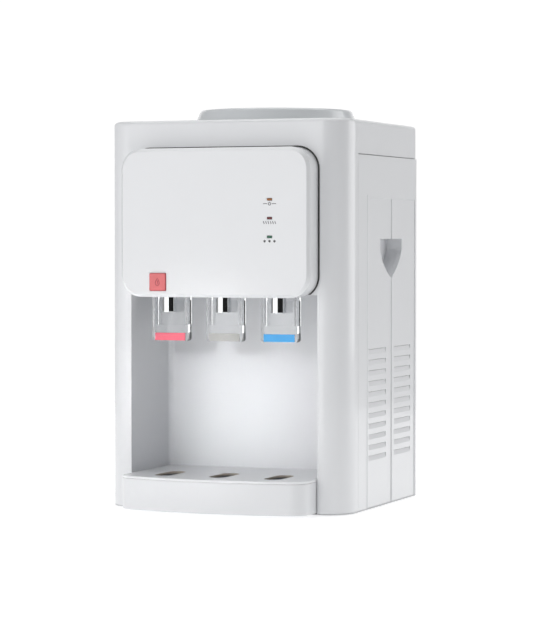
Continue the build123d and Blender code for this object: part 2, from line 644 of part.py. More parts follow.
def indicator_board():
    """Small board behind the lenses, on the cover's two posts."""
    y0 = FRONT_Y - COVER_OUT + 9.2
    middle = LED_Z[1]
    board = block(LED_X - 11, LED_X + 11, y0, y0 + 1.6, middle - 36, middle + 36)
    for z in LED_Z:
        board += block(LED_X - 4, LED_X + 4, y0 + 1.6, y0 + 3.0, z - 2, z + 2)
    return board


def switch_frame(x):
    """Frame of one rear rocker switch."""
    y0 = BACK_Y - 14
    shell = block(x - 10.0, x + 10.0, y0, BACK_Y - 0.5, SWITCH_Z - 14.0, SWITCH_Z + 14.0)
    shell += block(x - 11.5, x + 11.5, BACK_Y - 0.5, BACK_Y, SWITCH_Z - 15.5, SWITCH_Z + 15.5)
    shell -= block(x - 8.2, x + 8.2, y0 + 1.5, BACK_Y + 1, SWITCH_Z - 12.2, SWITCH_Z + 12.2)
    return shell + rod_x(ROCKER_Y, SWITCH_Z, x - 9.0, x + 9.0, AXLE_R)


def rocker(x):
    """Rocker cap on the frame's axle, resting with its upper half out."""
    y = ROCKER_Y
    profile = [(y - 3.0, SWITCH_Z - 11), (y + 5.4, SWITCH_Z - 11), (y + 3.6, SWITCH_Z)]
    profile += [(y + 5.4, SWITCH_Z + 11), (y - 3.0, SWITCH_Z + 11)]
    cap = prism_x(profile, x - 7.8, x + 7.8)
    cap -= rod_x(y, SWITCH_Z, x - 9.0, x + 9.0, AXLE_R + 0.1)
    tilt = Pos(0, y, SWITCH_Z) * Rot(-9, 0, 0) * Pos(0, -y, -SWITCH_Z)
    return tilt * cap


# ---- water and heat -----------------------------------------------------------------
def cold_tank():
    """Open-topped steel tank under the bottle seat."""
    tank = rod(0, COLD_Y, COLD_BOTTOM, COLD_TOP, COLD_R)
    tank = fillet(tank.faces().sort_by(Axis.Z)[0].edges(), 6)
    core = rod(0, COLD_Y, COLD_BOTTOM + 1.2, COLD_TOP + 20, COLD_R - 1.2)
    tank -= fillet(core.faces().sort_by(Axis.Z)[0].edges(), 5)
    rim = rod(0, COLD_Y, COLD_TOP - 1.2, COLD_TOP, COLD_R + 4)
    tank += rim - rod(0, COLD_Y, COLD_TOP - 3, COLD_TOP + 1, COLD_R - 1)
    for x, z in cold_tank_ports():
        wall_y = COLD_Y - math.sqrt(COLD_R**2 - x**2)
        tank += rod_y(x, z, wall_y - 14, wall_y + 1.5, 4.9) - rod_y(x, z, wall_y - 15, wall_y + 3, 3.4)
        tank -= rod_y(x, z, wall_y - 15, wall_y + 4, 3.4)
    tank += rod(*FEED_PORT, COLD_BOTTOM - 10, COLD_BOTTOM + 1, 4.9)
    return tank - rod(*FEED_PORT, COLD_BOTTOM - 11, COLD_BOTTOM + 3, 3.4)


def cold_tank_ports():
    """Side ports (x, z): room-temperature water from high up, cold water from the bottom."""
    return [(0.0, AMBIENT_PORT_Z), (COLD_PORT_X, SHANK_Z)]


def cold_tank_foam():
    """Foam jacket with a window for the cooling unit and slots for the hoses."""
    outer = COLD_R + FOAM_T
    foam = rod(0, COLD_Y, COLD_BOTTOM - 8, COLD_TOP - 2, outer)
    foam -= rod(0, COLD_Y, COLD_BOTTOM - 0.2, COLD_TOP + 1, COLD_R + 0.2)
    foam -= block(-50, 50, COLD_Y + 58.5, BACK_Y, FAN_Z - 46, FAN_Z + 46)
    foam -= block(-26, 26, COLD_Y + 40, BACK_Y, FAN_Z - 26, FAN_Z + 26)
    for x, z in cold_tank_ports():
        foam -= rod_y(x, z, COLD_Y - COLD_R - 30, COLD_Y - 20, 7.4)
    return foam - rod(*FEED_PORT, COLD_BOTTOM - 20, COLD_BOTTOM + 1, 7.4)


def cold_block():
    """Aluminium block curved to the tank."""
    blk = block(-25, 25, COLD_Y + 42, COLD_Y + 63, FAN_Z - 25, FAN_Z + 25)
    return blk - rod(0, COLD_Y, FAN_Z - 60, FAN_Z + 60, COLD_R + 0.1)


def cooling_chip():
    """Thermoelectric module."""
    return block(-20, 20, COLD_Y + 63.1, COLD_Y + 66.9, FAN_Z - 20, FAN_Z + 20)


def heat_sink():
    """Finned heat sink between the module and the fan."""
    y0 = COLD_Y + 67
    sink = block(-40, 40, y0, y0 + 5, FAN_Z - 40, FAN_Z + 40)
    for k in range(13):
        x = -39 + 6.5 * k
        sink += block(x - 0.8, x + 0.8, y0 + 4.9, FAN_FRONT - 0.4, FAN_Z - 40, FAN_Z + 40)
    return sink


def fan_frame():
    """Square axial fan frame with a spider that carries the rotor's shaft."""
    y1 = FAN_FRONT + FAN_T
    frame = block(-FAN_HALF, FAN_HALF, FAN_FRONT, y1, FAN_Z - FAN_HALF, FAN_Z + FAN_HALF)
    frame -= rod_y(0, FAN_Z, FAN_FRONT - 1, y1 + 1, FAN_HALF - 2)
    hub = rod_y(0, FAN_Z, FAN_FRONT, FAN_FRONT + 2, 14)
    for angle in (45, 135, 225, 315):
        arm = Rot(0, angle, 0) * block(10, FAN_HALF - 1, -1.5, 1.5, -1.5, 1.5)
        hub += Pos(0, FAN_FRONT + 1.5, FAN_Z) * arm
    hub += rod_y(0, FAN_Z, FAN_FRONT + 1, FAN_FRONT + 11, 2.0)
    for x in (-35, 35):
        for z in (-35, 35):
            frame -= rod_y(x, FAN_Z + z, FAN_FRONT - 1, y1 + 1, 2.1)
    return frame + hub


def fan_rotor():
    """Seven-bladed rotor on the spider's shaft."""
    y0 = FAN_FRONT + 3.4
    rotor = rod_y(0, FAN_Z, y0, y0 + 10, 15)
    for k in range(7):
        blade = Pos(25, 0, 0) * Rot(35, 0, 0) * Box(23, 1.4, 11)
        rotor += Pos(0, y0 + 5, FAN_Z) * Rot(0, k * 360 / 7, 0) * blade
    return rotor - rod_y(0, FAN_Z, y0 - 1, FAN_FRONT + 12, 2.0 + RUNNING_GAP)


def hot_tank():
    """Domed steel hot tank with its ports."""
    tank = rod(HOT_X, HOT_Y, HOT_BOTTOM, HOT_TOP, HOT_R)
    tank = fillet(tank.edges().filter_by(GeomType.CIRCLE), 9)
    core = rod(HOT_X, HOT_Y, HOT_BOTTOM + 1.2, HOT_TOP - 1.2, HOT_R - 1.2)
    tank -= fillet(core.edges().filter_by(GeomType.CIRCLE), 8)
    for x in (HOT_FEED_X, HOT_OUT_X):
        tank += rod(x, HOT_Y, HOT_TOP - 1, HOT_TOP + 12, 4.9)
        tank -= rod(x, HOT_Y, HOT_TOP - 3, HOT_TOP + 13, 3.4)
    tank += rod(HOT_X, HOT_Y, HOT_BOTTOM - 12, HOT_BOTTOM + 1, 4.9)
    return tank - rod(HOT_X, HOT_Y, HOT_BOTTOM - 13, HOT_BOTTOM + 3, 3.4)


def heater_band():
    """Clamped band heater round the hot tank."""
    z0 = HOT_BOTTOM + 24
    band = rod(HOT_X, HOT_Y, z0, z0 + 34, HOT_R + 3.6) - rod(HOT_X, HOT_Y, z0 - 1, z0 + 40, HOT_R + 0.1)
    band -= block(HOT_X + 20, HOT_X + 60, HOT_Y - 3, HOT_Y + 3, z0 - 1, z0 + 40)
    for y in (-5, 3):
        ear = block(HOT_X + HOT_R + 1, HOT_X + HOT_R + 12, HOT_Y + y, HOT_Y + y + 2, z0, z0 + 34)
        band += ear
    return band


def thermostats():
    """Two snap-disc thermostats on the side of the hot tank."""
    discs = []
    for z in (HOT_BOTTOM + 76, HOT_BOTTOM + 100):
        disc = rod_x(HOT_Y, z, HOT_X - HOT_R - 9, HOT_X - HOT_R - 0.2, 8)
        disc += block(HOT_X - HOT_R - 14, HOT_X - HOT_R - 8, HOT_Y - 3, HOT_Y + 3, z - 0.6, z + 0.6)
        discs.append(disc.solid())
    return Compound(children=discs)


def tank_bracket():
    """Folded stand that carries the hot tank on the base plate."""
    foot_z = BASE_TOP
    legs = []
    for side in (-1, 1):
        a, b = sorted((HOT_X + side * 20, HOT_X + side * 21.5))
        legs.append(block(a, b, HOT_Y - 22, HOT_Y + 22, foot_z, HOT_BOTTOM - 0.2))
    deck = block(HOT_X - 21.5, HOT_X + 21.5, HOT_Y - 22, HOT_Y + 22, HOT_BOTTOM - 1.7, HOT_BOTTOM - 0.2)
    deck -= rod(HOT_X, HOT_Y, HOT_BOTTOM - 5, HOT_BOTTOM + 5, 6)
    stand = deck + legs[0] + legs[1]
    for side in (-1, 1):
        a, b = sorted((HOT_X + side * 20, HOT_X + side * 36))
        tab = block(a, b, HOT_Y - 22, HOT_Y + 22, foot_z, foot_z + 1.5)
        stand += tab - rod(HOT_X + side * 30, HOT_Y, 0, 20, 2.2)
    return stand


def drain_fitting():
    """Threaded spigot through the back panel with its elbow to the hot tank."""
    z = DRAIN_Z
    fitting = rod_y(HOT_X, z, HOT_Y - 8, BACK_Y - 7.0, 7.0)
    cup = rod_y(HOT_X, z, BACK_Y - 9.2, BACK_Y - WALL - 0.2, 12.0)
    fitting += cup - rod_y(HOT_X, z, BACK_Y - 7.0, BACK_Y, 9.2)
    fitting += rod(HOT_X, HOT_Y, z, HOT_BOTTOM - 12.2, 6.2)
    fitting -= rod_y(HOT_X, z, HOT_Y - 5, BACK_Y + 1, 4.0)
    return fitting - rod(HOT_X, HOT_Y, z, HOT_BOTTOM, 3.4)


def drain_cap():
    """Screw cap with a plug, on the outside of the drain spigot."""
    cap = rod_y(HOT_X, DRAIN_Z, BACK_Y - 6.6, BACK_Y - 0.3, 8.6)
    cap = fillet(cap.edges().filter_by(lambda e: e.center().Y > BACK_Y - 1), 1.0)
    cap -= block(HOT_X - 6, HOT_X + 6, BACK_Y - 2, BACK_Y, DRAIN_Z - 1, DRAIN_Z + 1)
    return cap + rod_y(HOT_X, DRAIN_Z, BACK_Y - 15, BACK_Y - 6.5, 3.6)


def cord_gland():
    """Gland in the back panel that a mains lead passes through."""
    gland = rod_y(GLAND_X, GLAND_Z, BACK_Y - WALL - 4, BACK_Y, 5.8)
    gland += rod_y(GLAND_X, GLAND_Z, BACK_Y - 0.45, BACK_Y, 8.5)
    gland += rod_y(GLAND_X, GLAND_Z, BACK_Y - WALL - 4, BACK_Y - WALL - 0.2, 7.5)
    return gland - rod_y(GLAND_X, GLAND_Z, BACK_Y - 30, BACK_Y + 1, GLAND_BORE_R)


def power_board():
    """Power supply board on edge, with its capacitor, transformer and relays."""
    x0 = 104.0
    y0, y1 = ALCOVE_BACK + 20, BACK_Y - 30
    z0 = BASE_TOP + 18
    board = block(x0, x0 + 1.6, y0, y1, z0, z0 + 96)
    board += block(x0 - 22, x0 + 0.1, y0 + 12, y0 + 42, z0 + 14, z0 + 44)
    board += rod_x(y0 + 62, z0 + 26, x0 - 26, x0 + 0.1, 9)
    for z in (58, 78):
        board += block(x0 - 15, x0 + 0.1, y0 + 50, y0 + 70, z0 + z, z0 + z + 14)
    board += block(x0 - 12, x0 + 0.1, y0 + 14, y0 + 40, z0 + 62, z0 + 84)
    board += block(x0 - 1, x0 + 14, y0 + 4, y0 + 20, BASE_TOP, BASE_TOP + 1.5)
    board += block(x0, x0 + 1.6, y0 + 4, y0 + 20, BASE_TOP, z0 + 1)
    board += block(x0, x0 + 1.6, y1 - 20, y1 - 4, BASE_TOP, z0 + 1)
    return board


def screws():
    """Back panel screws and cover screws."""
    group = []
    for x, z in back_screw_places():
        head = rod_y(x, z, BACK_Y - 0.5, BACK_Y, 3.6)
        shank = rod_y(x, z, BACK_Y - 9, BACK_Y - 0.4, 1.7)
        group.append((head + shank).solid())
    for x, z in cover_boss_places():
        head = rod_y(x, z, FRONT_Y + WALL, FRONT_Y + WALL + 2.2, 3.8)
        shank = rod_y(x, z, FRONT_Y - 9, FRONT_Y + WALL + 0.1, 1.2)
        group.append((head + shank).solid())
    return Compound(children=group)


def hoses():
    """Routes of the silicone hoses between the tanks and the taps."""
    z = SHANK_Z
    start = HOSE_END
    port_y = FEED_PORT[1]
    ambient_y = COLD_Y - COLD_R - 26
    cold_front = COLD_Y - math.sqrt(COLD_R**2 - (COLD_PORT_X - 7.0) ** 2) - 0.5
    feed = [
        (*FEED_PORT, COLD_BOTTOM - 0.5), (*FEED_PORT, COLD_BOTTOM - 30), (HOT_FEED_X, HOT_Y, HOT_TOP + 30),
        (HOT_FEED_X, HOT_Y, HOT_TOP + 1),
    ]
    hot = [
        (HOT_OUT_X, HOT_Y, HOT_TOP + 1), (HOT_OUT_X, HOT_Y, HOT_TOP + 34), (-92, port_y + 10, z - 32),
        (-92, port_y - 30, z - 12), (-92, port_y - 64, z), (-TAP_PITCH, port_y - 86, z), (-TAP_PITCH, start, z),
    ]
    ambient = [
        (0, start, z), (0, ambient_y, z), (0, ambient_y, AMBIENT_PORT_Z),
        (0, COLD_Y - COLD_R - 0.5, AMBIENT_PORT_Z),
    ]
    cold = [
        (TAP_PITCH, start, z), (TAP_PITCH, ambient_y + 2, z), (COLD_PORT_X, cold_front - 24, z),
        (COLD_PORT_X, cold_front, z),
    ]
    return {"hot_feed_hose": feed, "hot_outlet_hose": hot, "ambient_outlet_hose": ambient,
            "cold_outlet_hose": cold}


# ---- write every node ---------------------------------------------------------------
save(front_panel(), "front_panel")
save(tap_cover(), "tap_cover")
save(top_cover(), "top_cover")
save(side_panel(1), "right_side_panel")
save(side_panel(-1), "left_side_panel")
save(back_panel(), "back_panel")
save(base_plate(), "base_plate")
save(foot_pads(), "foot_pads")
save(bottle_seat(), "bottle_seat")
for tap_name, tap_x in zip(TAP_NAMES, tap_centres()):
    save(tap_body(tap_x), f"{tap_name}_tap_body")
    save(spout_sleeve(tap_x), f"{tap_name}_spout_sleeve")
    save(tap_lever(tap_x), f"{tap_name}_lever")
    save(strip_block(tap_x), f"{tap_name}_lever_strip")
    save(valve_stem(tap_x), f"{tap_name}_valve_stem")
    save(valve_spring(tap_x), f"{tap_name}_valve_spring")
save(hinge_pins(), "lever_pins")
save(tap_nuts(), "tap_nuts")
save(drip_tray(), "drip_tray")
save(drip_grille(), "drip_grille")
save(child_lock_button(), "child_lock_button")
save(child_lock_spring(), "child_lock_spring")
for led_name, led_z in zip(LED_NAMES, LED_Z):
    save(indicator_lens(led_z), f"{led_name}_lens")
save(indicator_board(), "indicator_board")
frames = [switch_frame(x).solid() for x in SWITCH_X]
save(Compound(children=frames), "switch_frames")
for switch_name, switch_x in zip(("heating", "cooling"), SWITCH_X):
    save(rocker(switch_x), f"{switch_name}_switch")
save(cold_tank(), "cold_tank")
save(cold_tank_foam(), "cold_tank_foam")
save(cold_block(), "cold_block")
save(cooling_chip(), "cooling_chip")
save(heat_sink(), "heat_sink")
save(fan_frame(), "fan_frame")
save(fan_rotor(), "fan_rotor")
save(hot_tank(), "hot_tank")
save(heater_band(), "heater_band")
save(thermostats(), "thermostats")
save(tank_bracket(), "tank_bracket")
save(drain_fitting(), "drain_fitting")
save(drain_cap(), "drain_cap")
save(cord_gland(), "cord_gland")
save(power_board(), "power_board")
save(screws(), "housing_screws")
for hose_name, route in hoses().items():
    save(hose(route, 6.8, 5.0), hose_name)
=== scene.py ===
import math

import bmesh
import bpy
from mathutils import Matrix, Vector


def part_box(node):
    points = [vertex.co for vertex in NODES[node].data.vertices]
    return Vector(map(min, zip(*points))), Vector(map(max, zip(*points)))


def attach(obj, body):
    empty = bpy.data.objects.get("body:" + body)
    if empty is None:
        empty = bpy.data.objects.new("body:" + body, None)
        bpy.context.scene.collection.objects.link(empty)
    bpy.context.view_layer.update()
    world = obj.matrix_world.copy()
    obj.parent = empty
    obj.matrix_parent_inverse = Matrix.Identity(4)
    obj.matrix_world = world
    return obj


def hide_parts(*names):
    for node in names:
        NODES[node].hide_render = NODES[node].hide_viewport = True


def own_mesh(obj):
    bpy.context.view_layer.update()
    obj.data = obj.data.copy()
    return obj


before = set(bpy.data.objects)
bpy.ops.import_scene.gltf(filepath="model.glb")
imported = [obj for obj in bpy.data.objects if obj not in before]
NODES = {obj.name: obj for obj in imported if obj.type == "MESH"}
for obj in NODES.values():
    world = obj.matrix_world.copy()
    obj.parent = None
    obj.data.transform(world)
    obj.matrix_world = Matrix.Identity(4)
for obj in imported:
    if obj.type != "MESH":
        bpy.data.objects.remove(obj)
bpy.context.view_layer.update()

MM = 0.001
SCENE = bpy.context.scene


# ---- places ---------------------------------------------------------------------------
COVER_LOW, COVER_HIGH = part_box("tap_cover")
FACE_Y = COVER_LOW.y                      # outer face of the tap cover
FRONT_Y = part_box("front_panel")[0].y      # front plane of the housing
BUTTON_LOW, BUTTON_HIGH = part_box("child_lock_button")
SLOTS_X = (-0.090, 0.090)                 # the three drain slots lie inside this rectangle
SLOTS_Y = (-0.133, -0.069)


# ---- node helpers ---------------------------------------------------------------------
def new_material(name):
    """Empty node material with a Principled shader, ready for links."""
    mat = bpy.data.materials.new(name)
    mat.use_nodes = True
    nodes = mat.node_tree.nodes
    return mat, nodes, mat.node_tree.links, nodes["Principled BSDF"]


def object_noise(nodes, links, scale, detail=3.0, rough=0.55, stretch=None):
    """Noise in object space, so its grain keeps its size on every piece."""
    source = nodes.new("ShaderNodeTexCoord").outputs["Object"]
    noise = nodes.new("ShaderNodeTexNoise")
    for socket, value in (("Scale", scale), ("Detail", detail), ("Roughness", rough)):
        noise.inputs[socket].default_value = value
    if stretch:
        mapping = nodes.new("ShaderNodeMapping")
        mapping.inputs["Scale"].default_value = stretch
        links.new(source, mapping.inputs["Vector"])
        source = mapping.outputs["Vector"]
    links.new(source, noise.inputs["Vector"])
    return noise


def remap(nodes, links, value, low, high, from_low=0.3, from_high=0.7):
    """Carry from_low..from_high over to low..high, held at the ends."""
    node = nodes.new("ShaderNodeMapRange")
    node.inputs["From Min"].default_value = from_low
    node.inputs["From Max"].default_value = from_high
    node.inputs["To Min"].default_value = low
    node.inputs["To Max"].default_value = high
    links.new(value, node.inputs["Value"])
    return node.outputs["Result"]


def multiply(nodes, links, first, second):
    node = nodes.new("ShaderNodeMath")
    node.operation = "MULTIPLY"
    links.new(first, node.inputs[0])
    links.new(second, node.inputs[1])
    return node.outputs["Value"]


def mix_colours(nodes, links, factor, dark, light):
    """Blend of two fixed colours."""
    node = nodes.new("ShaderNodeMix")
    node.data_type = "RGBA"
    node.inputs["A"].default_value = (*dark, 1)
    node.inputs["B"].default_value = (*light, 1)
    links.new(factor, node.inputs["Factor"])
    return node.outputs["Result"]


def paint_wear_and_shade(nodes, links, base, mask, colour):
    """A base colour that gives way to a fixed one where the mask is 1."""
    node = nodes.new("ShaderNodeMix")
    node.data_type = "RGBA"
    node.inputs["B"].default_value = (*colour, 1)
    links.new(base, node.inputs["A"])
    links.new(mask, node.inputs["Factor"])
    return node.outputs["Result"]


def edge_mask(nodes, links, radius):
    """About 1 on corners, where hands and cloths polish and where a darker edge colour paints shade, 0 on
    open surfaces; also the softened normal.
    """
    bevel = nodes.new("ShaderNodeBevel")
    bevel.samples = 4
    bevel.inputs["Radius"].default_value = radius
    geometry = nodes.new("ShaderNodeNewGeometry")
    dot = nodes.new("ShaderNodeVectorMath")
    dot.operation = "DOT_PRODUCT"
    links.new(bevel.outputs["Normal"], dot.inputs[0])
    links.new(geometry.outputs["Normal"], dot.inputs[1])
    mask = remap(nodes, links, dot.outputs["Value"], 1.0, 0.0, 0.80, 0.995)
    return mask, bevel.outputs["Normal"]


def bump(nodes, links, height, strength, distance, normal=None):
    """Surface relief from a height value, on top of an earlier normal if there is one."""
    node = nodes.new("ShaderNodeBump")
    node.inputs["Strength"].default_value = strength
    node.inputs["Distance"].default_value = distance
    links.new(height, node.inputs["Height"])
    if normal:
        links.new(normal, node.inputs["Normal"])
    return node.outputs["Normal"]


def moulded_plastic(name, colour, rough=0.28, coat=0.35, grain=1400.0, depth=0.000008,
                    tone=0.007, edge=0.0008, edge_colour=None):
    """Injection-moulded plastic: faint flow tone, orange-peel bump, hand-polished edges; a darker edge_colour
    paints shade on the edges.
    """
    mat, nodes, links, shader = new_material(name)
    flow = object_noise(nodes, links, 14.0, 4.0)
    peel = object_noise(nodes, links, grain, 2.0)
    smear = object_noise(nodes, links, 55.0, 5.0, 0.65, stretch=(1.0, 1.0, 0.35))
    dark = tuple(max(0.0, c - tone) for c in colour)
    light = tuple(min(1.0, c + tone * 0.35) for c in colour)
    # Edge colour: a lighter wear tone by default; a darker edge_colour is painted shade on the edges.
    edge_wear_and_shade = edge_colour or tuple(min(1.0, c * 1.04 + 0.01) for c in colour)
    tint = mix_colours(nodes, links, remap(nodes, links, flow.outputs["Fac"], 0.0, 1.0), dark, light)
    mask, soft_normal = edge_mask(nodes, links, edge)
    links.new(paint_wear_and_shade(nodes, links, tint, mask, edge_wear_and_shade), shader.inputs["Base Color"])
    gloss = remap(nodes, links, smear.outputs["Fac"], rough - 0.006, rough + 0.010)
    polished = nodes.new("ShaderNodeMath")
    polished.operation = "MULTIPLY_ADD"
    polished.inputs[1].default_value = -0.03
    links.new(mask, polished.inputs[0])
    links.new(gloss, polished.inputs[2])
    links.new(polished.outputs["Value"], shader.inputs["Roughness"])
    links.new(bump(nodes, links, peel.outputs["Fac"], 0.25, depth, soft_normal), shader.inputs["Normal"])
    shader.inputs["Coat Weight"].default_value = coat
    shader.inputs["Coat Roughness"].default_value = 0.08
    shader.inputs["IOR"].default_value = 1.52
    return mat


def bright_metal(name, colour, rough, grain=(1.0, 1.0, 1.0), scale=300.0, strength=0.08):
    """Metal with fine directional marks in its gloss and surface."""
    mat, nodes, links, shader = new_material(name)
    marks = object_noise(nodes, links, scale, 4.0, 0.6, stretch=grain)
    cloud = object_noise(nodes, links, 30.0, 3.0)
    dark = tuple(c * 0.93 for c in colour)
    tint = mix_colours(nodes, links, remap(nodes, links, cloud.outputs["Fac"], 0.0, 1.0), dark, colour)
    links.new(tint, shader.inputs["Base Color"])
    links.new(remap(nodes, links, marks.outputs["Fac"], rough * 0.7, rough * 1.5), shader.inputs["Roughness"])
    links.new(bump(nodes, links, marks.outputs["Fac"], strength, 0.00002), shader.inputs["Normal"])
    shader.inputs["Metallic"].default_value = 1.0
    return mat


def clear_plastic(name, colour, rough=0.04):
    """Clear polished plastic with faint flow lines and handling haze."""
    mat, nodes, links, shader = new_material(name)
    haze = object_noise(nodes, links, 90.0, 4.0, 0.6)
    flow = object_noise(nodes, links, 160.0, 2.0, 0.5, stretch=(1.0, 1.0, 0.2))
    dark = tuple(c * 0.96 for c in colour)
    tint = mix_colours(nodes, links, remap(nodes, links, haze.outputs["Fac"], 0.0, 1.0), dark, colour)
    links.new(tint, shader.inputs["Base Color"])
    links.new(remap(nodes, links, haze.outputs["Fac"], rough * 0.5, rough * 2.2), shader.inputs["Roughness"])
    links.new(bump(nodes, links, flow.outputs["Fac"], 0.10, 0.00003), shader.inputs["Normal"])
    shader.inputs["Transmission Weight"].default_value = 1.0
    shader.inputs["IOR"].default_value = 1.49
    return mat


def soft_rubber(name, colour, rough=0.6, grain=900.0):
    """Rubber or silicone: matt bloom, fine mould grain."""
    mat, nodes, links, shader = new_material(name)
    bloom = object_noise(nodes, links, 40.0, 5.0, 0.6)
    mould = object_noise(nodes, links, grain, 3.0)
    light = tuple(min(1.0, c + 0.05) for c in colour)
    tint = mix_colours(nodes, links, remap(nodes, links, bloom.outputs["Fac"], 0.0, 1.0), colour, light)
    links.new(tint, shader.inputs["Base Color"])
    links.new(remap(nodes, links, bloom.outputs["Fac"], rough - 0.1, rough + 0.1), shader.inputs["Roughness"])
    links.new(bump(nodes, links, mould.outputs["Fac"], 0.3, 0.00005), shader.inputs["Normal"])
    return mat


def paint_slot_shade(mat, colour):
    """Paint shade on the upright faces of the drain slots, in a brown-grey colour, and nothing outside the
    slots' rectangle.
    """
    nodes, links = mat.node_tree.nodes, mat.node_tree.links
    shader = nodes["Principled BSDF"]
    base = shader.inputs["Base Color"].links[0].from_socket
    coord = nodes.new("ShaderNodeTexCoord")
    place = nodes.new("ShaderNodeSeparateXYZ")
    links.new(coord.outputs["Object"], place.inputs["Vector"])
    facing = nodes.new("ShaderNodeSeparateXYZ")
    links.new(coord.outputs["Normal"], facing.inputs["Vector"])
    flat = nodes.new("ShaderNodeMath")
    flat.operation = "ABSOLUTE"
    links.new(facing.outputs["Z"], flat.inputs[0])
    mask = remap(nodes, links, flat.outputs["Value"], 1.0, 0.0, 0.25, 0.45)
    for axis, (low, high), blur in (("X", SLOTS_X, 2 * MM), ("Y", SLOTS_Y, 1 * MM)):
        below = remap(nodes, links, place.outputs[axis], 1.0, 0.0, high, high + blur)
        above = remap(nodes, links, place.outputs[axis], 0.0, 1.0, low - blur, low)
        mask = multiply(nodes, links, multiply(nodes, links, mask, below), above)
    # Painted shade: the slot walls take the brown-grey colour.
    links.new(paint_wear_and_shade(nodes, links, base, mask, colour), shader.inputs["Base Color"])


def dress(material, *names):
    """Give CAD nodes or new pieces a finished material."""
    for name in names:
        target = NODES[name] if isinstance(name, str) else name
        target.data.materials.clear()
        target.data.materials.append(material)


# ---- materials ------------------------------------------------------------------------
HOUSING_COLOUR = (0.78, 0.79, 0.81)
LENS = {"rough": 0.3, "coat": 0.1}
WHITE = moulded_plastic("housing white", HOUSING_COLOUR, rough=0.30)
COVER_WHITE = moulded_plastic("cover white", HOUSING_COLOUR, rough=0.26)
TRAY_WHITE = moulded_plastic("tray white", HOUSING_COLOUR, rough=0.30)
SEAT_GREY = moulded_plastic("bottle seat", (0.70, 0.725, 0.745), rough=0.22)
POWDER = moulded_plastic("powder coat", (0.70, 0.71, 0.72), rough=0.5, grain=2600.0, depth=0.00006)
TAP_CREAM = moulded_plastic("tap nylon", (0.70, 0.69, 0.62), rough=0.38)
# Painted shade on the button's rim: edge_colour darkens its rounded edges to a deep red.
RED_FACE = moulded_plastic("button red", (0.70, 0.13, 0.14), rough=0.30, tone=0.02, edge=0.0016,
                           edge_colour=(0.42, 0.012, 0.03))
RED_INSERT = moulded_plastic("red insert", (0.78, 0.11, 0.17), rough=0.22, tone=0.02)
GREY_INSERT = moulded_plastic("grey insert", (0.40, 0.40, 0.385), rough=0.24, tone=0.02)
BLUE_INSERT = moulded_plastic("blue insert", (0.02, 0.36, 0.80), rough=0.22, tone=0.015)
BLACK = moulded_plastic("black plastic", (0.025, 0.025, 0.027), rough=0.42, tone=0.006)
SWITCH_RED = moulded_plastic("rocker red", (0.55, 0.02, 0.02), rough=0.22, tone=0.015)
SWITCH_GREEN = moulded_plastic("rocker green", (0.02, 0.30, 0.09), rough=0.22, tone=0.01)
BOARD = moulded_plastic("circuit board", (0.03, 0.17, 0.07), rough=0.35, tone=0.01)
FOAM = moulded_plastic("foam", (0.80, 0.80, 0.78), rough=0.8, grain=450.0, depth=0.0003)
CERAMIC = moulded_plastic("ceramic", (0.83, 0.83, 0.80), rough=0.5)
DRAIN = moulded_plastic("drain nylon", (0.66, 0.66, 0.63), rough=0.4)
AMBER_LENS = moulded_plastic("amber lens", (0.30, 0.10, 0.006), tone=0.02, **LENS)
RED_LENS = moulded_plastic("red lens", (0.13, 0.002, 0.012), tone=0.01, **LENS)
GREEN_LENS = moulded_plastic("green lens", (0.003, 0.11, 0.055), tone=0.01, **LENS)
CHROME = bright_metal("chrome", (0.90, 0.91, 0.92), 0.045, strength=0.02)
STEEL = bright_metal("steel", (0.55, 0.55, 0.54), 0.28, grain=(1.0, 1.0, 12.0))
ALUMINIUM = bright_metal("aluminium", (0.75, 0.755, 0.76), 0.33, grain=(1.0, 1.0, 8.0))
CLEAR = clear_plastic("clear lever", (0.97, 0.98, 0.985))
RUBBER = soft_rubber("foot rubber", (0.03, 0.03, 0.03))
SILICONE = soft_rubber("silicone", (0.72, 0.72, 0.70), rough=0.45)
INK = moulded_plastic("ink", (0.06, 0.06, 0.07), rough=0.5, tone=0.01)
MARK = moulded_plastic("button mark", (0.40, 0.02, 0.035), rough=0.4)
# Painted light: the grille gets a lighter white than the housing so the tray top looks lit; its slot walls
# get painted shade.
GRILLE_PAINTED_LIGHT_AND_SHADE = moulded_plastic("grille white, painted light and shade", (0.90, 0.91, 0.93), rough=0.30)
paint_slot_shade(GRILLE_PAINTED_LIGHT_AND_SHADE, (0.60, 0.53, 0.46))

dress(WHITE, "front_panel", "top_cover", "left_side_panel", "right_side_panel")
dress(COVER_WHITE, "tap_cover")
dress(TRAY_WHITE, "drip_tray")
dress(GRILLE_PAINTED_LIGHT_AND_SHADE, "drip_grille")
dress(SEAT_GREY, "bottle_seat")
dress(POWDER, "back_panel", "base_plate")
dress(RUBBER, "foot_pads")
dress(RED_FACE, "child_lock_button")
dress(AMBER_LENS, "power_lens")
dress(RED_LENS, "heating_lens")
dress(GREEN_LENS, "cooling_lens")
dress(BLACK, "switch_frames", "fan_frame", "fan_rotor", "cord_gland", "drain_cap")
dress(SWITCH_RED, "heating_switch")
dress(SWITCH_GREEN, "cooling_switch")
dress(BOARD, "indicator_board", "power_board")
dress(FOAM, "cold_tank_foam")
dress(CERAMIC, "cooling_chip")
dress(DRAIN, "drain_fitting")
dress(ALUMINIUM, "heat_sink", "cold_block")
dress(SILICONE, "hot_feed_hose", "hot_outlet_hose", "ambient_outlet_hose", "cold_outlet_hose")
dress(STEEL, "cold_tank", "hot_tank", "heater_band", "thermostats", "tank_bracket", "lever_pins",
      "child_lock_spring", "housing_screws")
dress(TAP_CREAM, "tap_nuts")
STRIPS = {"hot": RED_INSERT, "ambient": GREY_INSERT, "cold": BLUE_INSERT}
